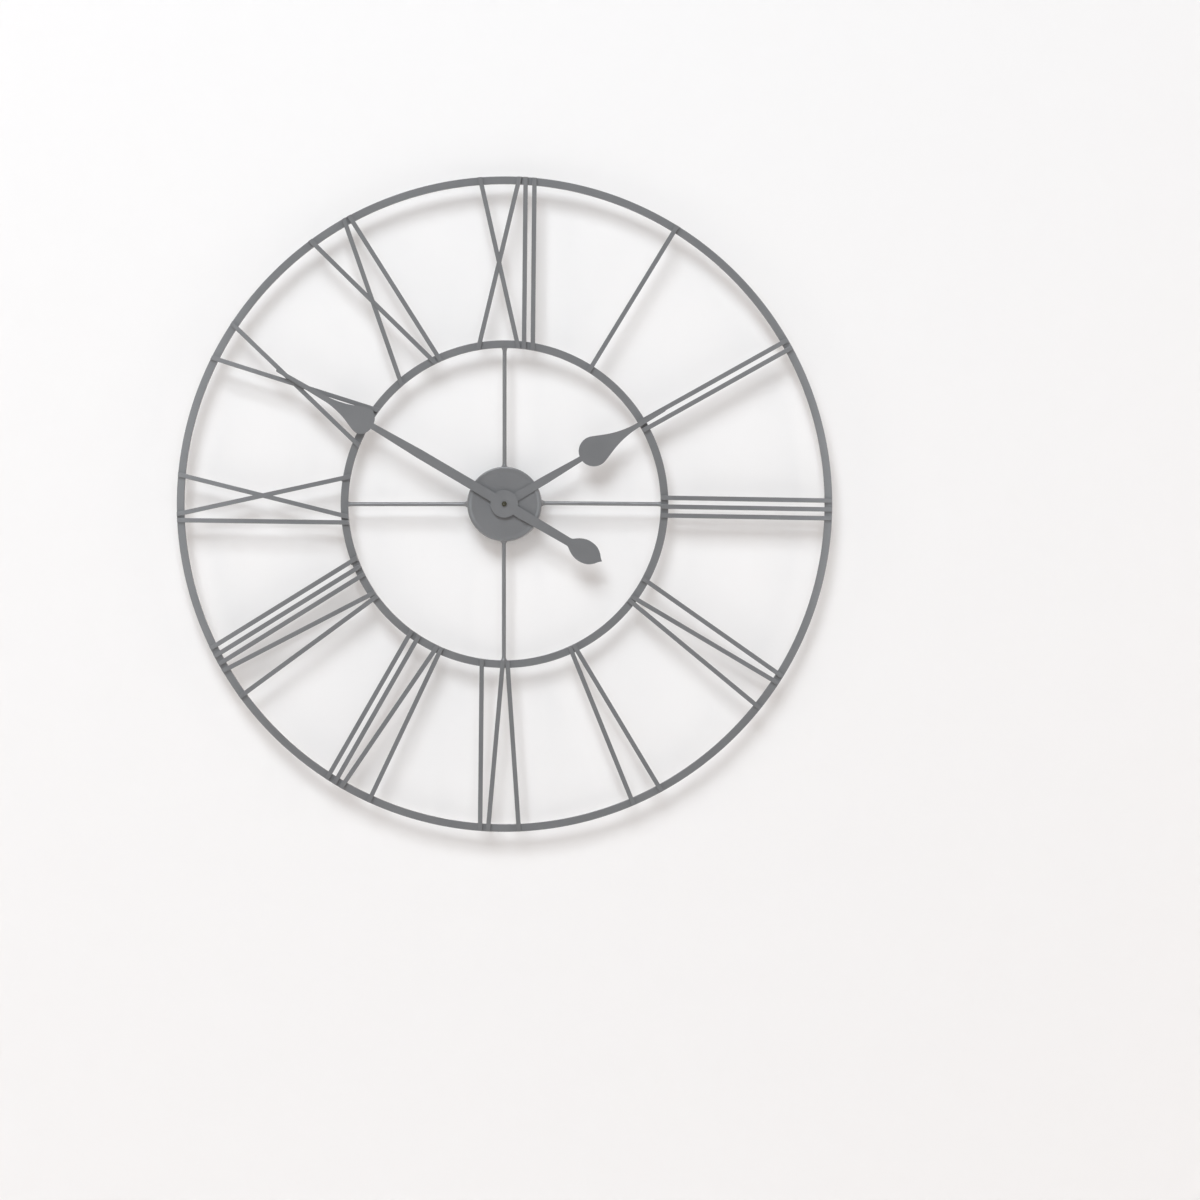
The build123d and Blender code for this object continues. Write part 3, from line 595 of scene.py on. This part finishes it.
ROD_R = 2.5
HUB_WELD = [(-0.5, 4.5), (0.2, 4.2), (0.8, 3.75), (1.4, 3.3), (2.2, 2.95), (3.2, 2.68), (4.6, 2.53),
            (6.5, ROD_R)]
RING_WELD = [(6.0, ROD_R), (4.2, 2.55), (2.8, 2.72), (1.8, 3.0), (1.0, 3.4), (0.3, 3.75), (-0.5, 3.9)]
SIDES = 28


def welded_rod(name, node, ring_weld):
    start, end = end_middle(node, True), end_middle(node, False)
    run = end - start
    length = run.length / MM
    stations = list(HUB_WELD)
    stations += [(length - back, ROD_R + (r - ROD_R) * ring_weld) for back, r in RING_WELD]
    start_clean()
    bpy.ops.mesh.primitive_circle_add(vertices=SIDES, radius=stations[0][1] * MM, fill_type="NGON",
                                      location=(0, 0, stations[0][0] * MM))
    rod = bpy.context.object
    rod.name = name
    bpy.ops.object.transform_apply(location=True, rotation=True, scale=True)
    open_for_edit(rod)
    for (z, r), (next_z, next_r) in zip(stations, stations[1:]):
        extrude_by(0, 0, (next_z - z) * MM)
        bpy.ops.transform.resize(value=(next_r / r, next_r / r, 1.0),
                                 center_override=(0, 0, next_z * MM))
    bpy.ops.object.mode_set(mode="OBJECT")
    rod.rotation_euler = run.to_track_quat("Z", "Y").to_euler()
    rod.location = start
    close_up(rod)
    return shade(rod)


RING_WELDS = {"spoke_12": 1.0, "spoke_3": 0.5, "spoke_6": 1.0, "spoke_9": 0.5}
for node, amount in RING_WELDS.items():
    rod = welded_rod(node.replace("spoke", "welded_rod"), node, amount)
    hand_over(rod, finishes["grey_paint"], "frame", "grey_paint", node)

# %% [markdown]
# ## Hands
# Both hands are cut from thin sheet. A hand is drawn along +Z as a ladder: one edge across the hand that is
# extruded from station to station and widened or narrowed each time. So its outline is only a list of half
# widths, in millimetres. Round parts, such as the boss and the belly of the pointer, get their stations from
# an arc, and hollow tapers from a curve that leaves and arrives at given slopes.

# %% Stations of an outline
def arc(centre, radius, start, end, count, flat=1.0):
    """Half widths along a round part; angles in degrees from the hand's own direction."""
    stops = []
    for index in range(count + 1):
        angle = math.radians(start + (end - start) * index / count)
        stops.append((centre + radius * flat * math.cos(angle), radius * math.sin(angle)))
    return stops


def flow(start, start_slope, end, end_slope, count):
    """Half widths along a smooth curve, without its first point."""
    stops = []
    length = end[0] - start[0]
    for index in range(1, count + 1):
        t = index / count
        width = ((2 * t**3 - 3 * t**2 + 1) * start[1] + (t**3 - 2 * t**2 + t) * length * start_slope
                 + (3 * t**2 - 2 * t**3) * end[1] + (t**3 - t**2) * length * end_slope)
        stops.append((start[0] + length * t, width))
    return stops


def meets(centre, radius, width, behind, flat=1.0):
    """Angle at which a round part has this half width, on its side towards the hub or away from it."""
    angle = math.degrees(math.asin(width / radius))
    return 180 - angle if behind else angle


BOSS_R = 16.8
BLADE_SLOPE = -0.012


def pointer(stem, belly, flat, taper, blade, tip):
    """Stations from the boss to the tip. belly: middle, radius and half width of the neck."""
    middle, radius, neck = belly
    stops = list(stem)
    stops += arc(middle, radius, meets(middle, radius, neck, True, flat), 90, 16, flat)
    stops += arc(middle, radius, 90, 90 - taper[0], 6)[1:]
    shoulder = stops[-1]
    slope = -math.tan(math.radians(taper[0]))
    stops += flow(shoulder, slope, taper[1], taper[2], 8)
    stops += flow(taper[1], taper[2], blade, BLADE_SLOPE, 8)
    reach, half = tip
    stops += [(reach - half, half)] + [(reach - half + half * math.sin(a), half * math.cos(a))
                                       for a in (0.5, 0.9, 1.25, 1.5)]
    return stops


hour_stops = arc(0, BOSS_R, 178, meets(0, BOSS_R, 5.15, False), 30)
hour_stops += pointer([(60.0, 4.95), (104.0, 3.4)], (126.4, 18.4, 3.4), 1.0,
                      (21.0, (160.4, 6.9), -0.26), (186.0, 3.0), (228.0, 2.2))
minute_pointer = pointer([(120.0, 5.7), (182.0, 3.8)], (199.3, 17.1, 3.8), 0.76,
                         (20.0, (227.5, 7.45), -0.27), (252.0, 3.4), (322.0, 2.2))
leaf = [(138.0, 0.15), (136.6, 1.2), (134.4, 3.3), (131.2, 7.2), (128.0, 9.9), (124.5, 12.0),
        (120.5, 13.4), (116.5, 14.0), (112.5, 14.15), (108.5, 13.7), (104.5, 12.5), (100.5, 10.7),
        (97.5, 8.8), (95.0, 6.9), (93.0, 5.6), (91.0, 5.15)]
minute_stops = [(-reach, half) for reach, half in leaf]
minute_stops += [(-50.0, 5.7)]
minute_stops += arc(0, BOSS_R, 180 - meets(0, BOSS_R, 6.1, False), meets(0, BOSS_R, 5.85, False), 26)
minute_stops += minute_pointer
print("stations:", len(hour_stops), "and", len(minute_stops))

# %% [markdown]
# The ladder is thickened by one extrusion. The hole for the bush is cut with a short cylinder, which is a tool
# here and is thrown away. The edges get a small round, as sheet has after deburring and painting, and the hand
# is turned clockwise to its hour.

# %% Cut the hands from sheet
SHEET_EDGE = 0.00022


def cut_from_sheet(name, stops, back, front, degrees, hole):
    hand = single_point(name)
    reach, half = stops[0]
    bpy.ops.transform.translate(value=(-half * MM, back, reach * MM))
    extrude_by(2 * half * MM, 0, 0)
    bpy.ops.mesh.select_all(action="SELECT")
    for (reach, half), (next_reach, next_half) in zip(stops, stops[1:]):
        extrude_by(0, 0, (next_reach - reach) * MM)
        bpy.ops.transform.resize(value=(next_half / half, 1.0, 1.0),
                                 center_override=(0, back, next_reach * MM))
    bpy.ops.mesh.select_all(action="SELECT")
    extrude_by(0, front - back, 0)
    close_up(hand)
    bpy.ops.mesh.primitive_cylinder_add(vertices=48, radius=hole * MM, depth=0.01, location=(0, back, 0),
                                        rotation=(math.pi / 2, 0, 0))
    drill = bpy.context.object
    pick(hand)
    cut = hand.modifiers.new("hole", "BOOLEAN")
    cut.operation = "DIFFERENCE"
    cut.solver = "EXACT"
    cut.object = drill
    bpy.ops.object.modifier_apply(modifier="hole")
    bpy.data.objects.remove(drill)
    soften(hand, SHEET_EDGE)
    hand.rotation_euler = (0, math.radians(degrees), 0)
    close_up(hand)
    return shade(hand)


def hand_angle(node, reach):
    """Where a hand points, clockwise from twelve, from its solid's points beyond this reach."""
    far = [v.co for v in nodes[node].data.vertices if math.hypot(v.co.x, v.co.z) > reach]
    middle = sum(far, Vector()) / len(far)
    return math.degrees(math.atan2(middle.x, middle.z))


for node, stops, hole, reach in (("hour_hand", hour_stops, 3.2, 0.2),
                                 ("minute_hand", minute_stops, 2.4, 0.28)):
    low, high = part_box(node)
    degrees = hand_angle(node, reach)
    print(node, "points at", round(degrees, 2), "degrees")
    piece = cut_from_sheet(node.replace("hand", "pointer_hand"), stops, high.y, low.y, degrees, hole)
    hand_over(piece, finishes["grey_paint"], node.split("_")[0], "grey_paint", node)

# %% [markdown]
# ## Numerals
# Each numeral is made of flat bars that lie across both rings. The solids already have the right bars, but
# their edges are knife sharp. A copy of each is merged, flat faces are joined, and the edges get the small
# round that drawn flat bar has. That round is also what makes the thin dark line where a bar lies on a ring.

# %% A softened copy of a solid
BAR_EDGE = 0.0008


def softened_copy(node, name, width, segments=2, sharper_than=35.0):
    start_clean()
    copy = bpy.data.objects.new(name, nodes[node].data.copy())
    bpy.context.scene.collection.objects.link(copy)
    open_for_edit(copy)
    bpy.ops.mesh.remove_doubles(threshold=MERGE_GAP)
    bpy.ops.mesh.select_all(action="SELECT")
    bpy.ops.mesh.dissolve_limited(angle_limit=math.radians(0.5))
    bpy.ops.object.mode_set(mode="OBJECT")
    soften(copy, width, segments, sharper_than)
    return shade(copy)


flat_bars = {}
for hour in range(1, 13):
    flat_bars[hour] = softened_copy(f"numeral_{hour}", f"flat_bars_{hour}", BAR_EDGE, 3)
    hand_over(flat_bars[hour], finishes["grey_paint"], "frame", "grey_paint", f"numeral_{hour}")

# %% [markdown]
# ## Tack welds
# The bars are held by small tack welds, which sit behind them so that the front stays clean: one at the
# outer ring's inner edge and one at the inner ring's outer edge. To find the bars, a ray is sent forward
# through each numeral at every step along a circle just beside the ring. One bead is modelled: a ball that is
# stretched and made uneven. It is copied to every place, and the copies are joined.

# %% Feel for the bars along a circle
STEP = math.radians(0.03)
NUMERAL_HALF = 9
FEWEST_HITS = 5


def bars_on_circle(hour, radius):
    """Middle angles, clockwise from twelve, of the bars of a numeral at this radius."""
    start = math.radians(hour * 30 - NUMERAL_HALF)
    hits = []
    for index in range(int(math.radians(2 * NUMERAL_HALF) / STEP)):
        angle = start + index * STEP
        origin = (radius * math.sin(angle), 0.0, radius * math.cos(angle))
        if flat_bars[hour].ray_cast(origin, (0, -1, 0))[0]:
            hits.append(angle)
    groups = []
    for angle in hits:
        if groups and angle - groups[-1][-1] < 1.5 * STEP:
            groups[-1].append(angle)
        else:
            groups.append([angle])
    return [sum(group) / len(group) for group in groups if len(group) >= FEWEST_HITS]


# %% Put a bead behind each bar
BEAD_R = 0.0014
BEAD_BESIDE = 0.0012
BEAD_PROUD = 0.0003

start_clean()
bpy.ops.mesh.primitive_ico_sphere_add(subdivisions=2, radius=BEAD_R)
bead = bpy.context.object
open_for_edit(bead)
bpy.ops.transform.resize(value=(1.6, 1.0, 1.0))
bpy.ops.transform.vertex_random(offset=0.0002, seed=4)
bpy.ops.object.mode_set(mode="OBJECT")

bar_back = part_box("numeral_3")[1].y
ring_edges = (bore_of("outer_ring"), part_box("inner_ring")[1].x)
beads = []
for hour in range(1, 13):
    for edge, beside in zip(ring_edges, (-BEAD_BESIDE, BEAD_BESIDE)):
        for angle in bars_on_circle(hour, edge + beside):
            reach = edge + beside * 0.25
            spot = bpy.data.objects.new("bead", bead.data.copy())
            spot.location = (reach * math.sin(angle), bar_back + BEAD_PROUD, reach * math.cos(angle))
            spot.rotation_euler = (0, angle, 0)
            bpy.context.scene.collection.objects.link(spot)
            beads.append(spot)
bpy.data.objects.remove(bead)
tack_count = len(beads)
welds = join(beads, "numeral_tack_welds")
pick(welds)
bpy.ops.object.transform_apply(location=True, rotation=True, scale=True)
bpy.ops.object.shade_smooth()
hand_over(welds, finishes["grey_paint"], "frame", "grey_paint")
print("tack welds:", tack_count)

# %% [markdown]
# ## Small parts with their edges softened
# The hanger plate, the nuts, the washer and the hand bushes have the right shapes already. They only need the
# round of a pressed or turned edge, each at its own scale.

# %% Soften the fittings
FINE_EDGE = 0.00012
for node, name, width in (("hanger_plate", "hanger_strap", 0.0003),
                          ("brass_washer", "thin_washer", FINE_EDGE),
                          ("neck_nut", "hex_neck_nut", 0.00035),
                          ("hour_hand_bush", "hour_bush", FINE_EDGE),
                          ("minute_hand_bush", "minute_bush", FINE_EDGE)):
    slot = slot_of[node]
    body = {"hour_hand_bush": "hour", "minute_hand_bush": "minute"}.get(node, "frame")
    hand_over(softened_copy(node, name, width), finishes[slot], body, slot, node)
# The nut is dressed in near-black brass, as painted shade for the hollow in the middle of the hands.
nut = softened_copy("hand_nut", "hand_nut_painted_shade_dark", 0.0002)
hand_over(nut, nut_shade_brass, "minute", "brass", "hand_nut")

# %% [markdown]
# ## The movement from behind
# The black case is injection moulded, so the mould rounds all its edges. The cover that snaps into it and the
# setting knob are made the same way. Their solids only need softened copies too.

# %% Soften the case, the cover and the knob
for node, name, width in (("movement_case", "moulded_case", 0.0003),
                          ("back_cover", "snap_cover", 0.00025),
                          ("setting_knob", "ribbed_knob", FINE_EDGE)):
    body = "motion" if node == "setting_knob" else "frame"
    slot = slot_of[node]
    hand_over(softened_copy(node, name, width), finishes[slot], body, slot, node)

# %% [markdown]
# The cover carries a raised ring that guards the setting knob, five grip ridges for a thumbnail and a narrow
# border. A plus and a minus moulded on the rim show how the battery lies. All of these are low, as a mould
# makes them: a flat rectangle is raised by one extrusion, and its top is drawn in a little. Each foot is sunk
# a hair into the plastic below, so that no gap shows.

# %% Helper for raised bars
RAISED = 0.0005
LOW = 0.0003
SUNK = 0.00002
cover_low, cover_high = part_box("back_cover")
knob_low, knob_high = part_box("setting_knob")
knob_x = (knob_low.x + knob_high.x) / 2


def raised_bar(width, height, x, z, back, tall=RAISED):
    """A low moulded bar whose top is a little smaller than its foot, so that it leaves the mould."""
    start_clean()
    bpy.ops.mesh.primitive_plane_add(size=1.0, location=(x, back, z), rotation=(-math.pi / 2, 0, 0))
    bar = bpy.context.object
    bar.scale = (width, height, 1.0)
    bpy.ops.object.transform_apply(location=True, rotation=True, scale=True)
    open_for_edit(bar)
    extrude_by(0, tall, 0)
    bpy.ops.transform.resize(value=(1 - tall / width, 1.0, 1 - tall / height),
                             center_override=(x, back, z))
    return close_up(bar)


# %% Guard ring, grip ridges and border of the cover
RIDGES, RIDGE_LONG, RIDGE_WIDE = 5, 0.009, 0.0008
RIDGE_X, FIRST_RIDGE_Z, RIDGE_PITCH = 0.014, -0.004, 0.0022
BORDER_IN, BORDER_WIDE = 0.0016, 0.0007
cover_top = cover_high.y - SUNK

GUARD_LINE = [(6.3, 0.0), (6.35, 0.3), (6.6, 0.45), (7.0, 0.45), (7.25, 0.3), (7.3, 0.0)]
raised = [turned("guard_ring", GUARD_LINE, 64, centre=(knob_x, cover_top, 0.0), closed=True)]
for index in range(RIDGES):
    ridge_z = FIRST_RIDGE_Z + index * RIDGE_PITCH
    raised.append(raised_bar(RIDGE_LONG, RIDGE_WIDE, RIDGE_X, ridge_z, cover_top))
border_x = cover_high.x - BORDER_IN
border_low, border_high = cover_low.z + BORDER_IN, cover_high.z - BORDER_IN
middle_z, long_z = (border_low + border_high) / 2, border_high - border_low
for side in (-1, 1):
    raised.append(raised_bar(BORDER_WIDE, long_z, side * border_x, middle_z, cover_top, LOW))
for z in (border_low, border_high):
    raised.append(raised_bar(2 * border_x, BORDER_WIDE, 0.0, z, cover_top, LOW))
ridges = shade(soften(join(raised, "cover_ridges"), FINE_EDGE))
hand_over(ridges, finishes["black_plastic"], "frame", "black_plastic")

# %% Plus and minus on the rim of the case
SIGN_X, RIM_Z = 0.021, -0.0274
rim_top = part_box("movement_case")[1].y - SUNK
signs = [raised_bar(0.0026, 0.0006, -SIGN_X, RIM_Z, rim_top, LOW),
         raised_bar(0.0018, 0.0005, SIGN_X, RIM_Z, rim_top, LOW),
         raised_bar(0.0005, 0.0010, SIGN_X, RIM_Z, rim_top, LOW)]
signs = shade(soften(join(signs, "moulded_signs"), FINE_EDGE))
hand_over(signs, finishes["black_plastic"], "frame", "black_plastic")

# %% [markdown]
# ## The battery
# A cell is a steel can in a printed sleeve. The sleeve is shrunk over both ends, where it leaves the flat
# bottom and the raised shoulder with its nub bare. So it is turned as two pieces, the sleeve and the metal
# ends, each with its own finish. The sleeve is plain dark blue with one pale band and no print.

# %% Turn the sleeve and the metal ends
cell_low, cell_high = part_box("battery")
cell_r = (cell_high.z - cell_low.z) / 2 / MM
cell_middle = (0.0, (cell_low.y + cell_high.y) / 2, (cell_low.z + cell_high.z) / 2)
start_x, end_x = cell_low.x / MM, cell_high.x / MM
shoulder = end_x - 1.0
sleeve_line = [(cell_r - 1.3, start_x + 0.12), (cell_r - 0.7, start_x + 0.02),
               (cell_r - 0.25, start_x + 0.15), (cell_r - 0.05, start_x + 0.45), (cell_r, start_x + 0.9),
               (cell_r, start_x + 15.0), (cell_r, shoulder - 14.0), (cell_r, shoulder - 0.9),
               (cell_r - 0.08, shoulder - 0.45), (cell_r - 0.3, shoulder - 0.15),
               (cell_r - 0.8, shoulder - 0.02), (cell_r - 1.5, shoulder - 0.1),
               (cell_r - 1.5, shoulder - 0.6), (cell_r - 0.8, shoulder - 1.0),
               (cell_r - 0.8, start_x + 1.0), (cell_r - 1.3, start_x + 0.5)]
sleeve = shade(turned("battery_sleeve", sleeve_line, 64, along="X", centre=cell_middle, closed=True))
ends_line = [(0.0, start_x + 0.35), (cell_r - 2.4, start_x + 0.3), (cell_r - 1.9, start_x + 0.15),
             (cell_r - 1.0, start_x + 0.3), (cell_r - 1.0, shoulder - 0.6), (cell_r - 1.6, shoulder - 0.25),
             (3.6, shoulder - 0.2), (2.95, shoulder - 0.1), (2.75, shoulder + 0.2), (2.75, end_x - 0.35),
             (2.6, end_x - 0.1), (2.3, end_x), (0.0, end_x)]
ends = shade(turned("battery_can", ends_line, 64, along="X", centre=cell_middle))
print("cell:", round(2 * cell_r, 2), "by", round(end_x - start_x, 2), "mm")

# %% [markdown]
# The pale band is part of the sleeve's finish. The place along the cell, from its flat end to its nub, runs
# from nought to one, and a stepped ramp turns that into blue, pale and blue again.

# %% Pale band round the sleeve
BAND_START, BAND_END = 0.62, 0.78
BAND_COLOUR = (0.55, 0.57, 0.6, 1.0)
sleeve_finish = finishes["battery_jacket"]
tree = sleeve_finish.node_tree
shader = tree.nodes["Principled BSDF"]
body_colour = shader.inputs["Base Color"].links[0].from_socket
place = tree.nodes.new("ShaderNodeTexCoord").outputs["Object"]
split = tree.nodes.new("ShaderNodeSeparateXYZ")
band = tree.nodes.new("ShaderNodeValToRGB")
band.color_ramp.interpolation = "CONSTANT"
band.color_ramp.elements[0].color = (0, 0, 0, 1)
band.color_ramp.elements[1].position = BAND_START
band.color_ramp.elements[1].color = (1, 1, 1, 1)
band.color_ramp.elements.new(BAND_END).color = (0, 0, 0, 1)
along = tree.nodes.new("ShaderNodeMapRange")
along.inputs["From Min"].default_value = cell_low.x
along.inputs["From Max"].default_value = cell_high.x
blend = tree.nodes.new("ShaderNodeMix")
blend.data_type = "RGBA"
blend.inputs["B"].default_value = BAND_COLOUR
tree.links.new(place, split.inputs[0])
tree.links.new(split.outputs["X"], along.inputs["Value"])
tree.links.new(along.outputs["Result"], band.inputs["Fac"])
tree.links.new(band.outputs["Color"], blend.inputs["Factor"])
tree.links.new(body_colour, blend.inputs["A"])
tree.links.new(blend.outputs["Result"], shader.inputs["Base Color"])
hand_over(sleeve, sleeve_finish, "battery_cell", "battery_jacket", "battery")
hand_over(ends, finishes["nickel"], "battery_cell", "nickel", "battery")

# %% [markdown]
# ## The contact spring
# The minus contact is wire wound into a cone that flattens when the cell is pushed in. The wire's section is
# a small circle. It is extruded in short steps: each step turns it about the cell's axis, moves it along and
# draws it inwards, so that the wire keeps its thickness while the turns get smaller.

# %% Wind the cone
WIRE_R = 0.00025
STRIP_THICK = 0.0004
strip_low, strip_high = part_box("negative_spring")
spring_start, spring_end = strip_low.x + STRIP_THICK + WIRE_R, strip_high.x - WIRE_R
WIDE, NARROW, TURNS, PER_TURN, FLAT_TURN = 0.0046, 0.0022, 3.25, 28, 0.75
axis_y, axis_z = cell_middle[1], cell_middle[2]
steps = int(TURNS * PER_TURN)
turn = 2 * math.pi / PER_TURN


def share_at(step):
    """How far the cone has narrowed at a step: three quarters of a turn at either end stay flat."""
    return min(1.0, max(0.0, (step - PER_TURN * FLAT_TURN) / (steps - PER_TURN * 2 * FLAT_TURN)))


start_clean()
bpy.ops.mesh.primitive_circle_add(vertices=8, radius=WIRE_R, fill_type="NGON",
                                  rotation=(math.pi / 2, 0, 0),
                                  location=(spring_start, axis_y, axis_z + WIDE))
spring = bpy.context.object
spring.name = "cone_spring"
bpy.ops.object.transform_apply(location=True, rotation=True, scale=True)
open_for_edit(spring, "FACE")
for index in range(steps):
    gained = share_at(index) - share_at(index - 1)
    inward = (WIDE - NARROW) * gained
    forward = (spring_end - spring_start) * gained
    extrude_by(0, 0, 0)
    bpy.ops.transform.rotate(value=turn, orient_axis="X", center_override=(spring_start, axis_y, axis_z))
    middle = Vector((0, 0, 0))
    bpy.ops.object.mode_set(mode="OBJECT")
    chosen = [v.co for v in spring.data.vertices if v.select]
    for point in chosen:
        middle += point / len(chosen)
    bpy.ops.object.mode_set(mode="EDIT")
    outward = Vector((0, middle.y - axis_y, middle.z - axis_z)).normalized()
    bpy.ops.transform.translate(value=(forward, -outward.y * inward, -outward.z * inward))
SPRING_GAP = 1e-7
close_up(spring, SPRING_GAP)
pick(spring)
bpy.ops.object.shade_smooth()
print("spring:", len(spring.data.vertices), "points in", TURNS, "turns")

# %% Stand the cone on its strip
strip = softened_copy("positive_contact", "spring_strip", 0.0001)
strip.location.x = strip_low.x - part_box("positive_contact")[0].x
close_up(strip)
contact = join([strip, spring], "spring_strip")
hand_over(contact, finishes["nickel"], "frame", "nickel", "negative_spring")
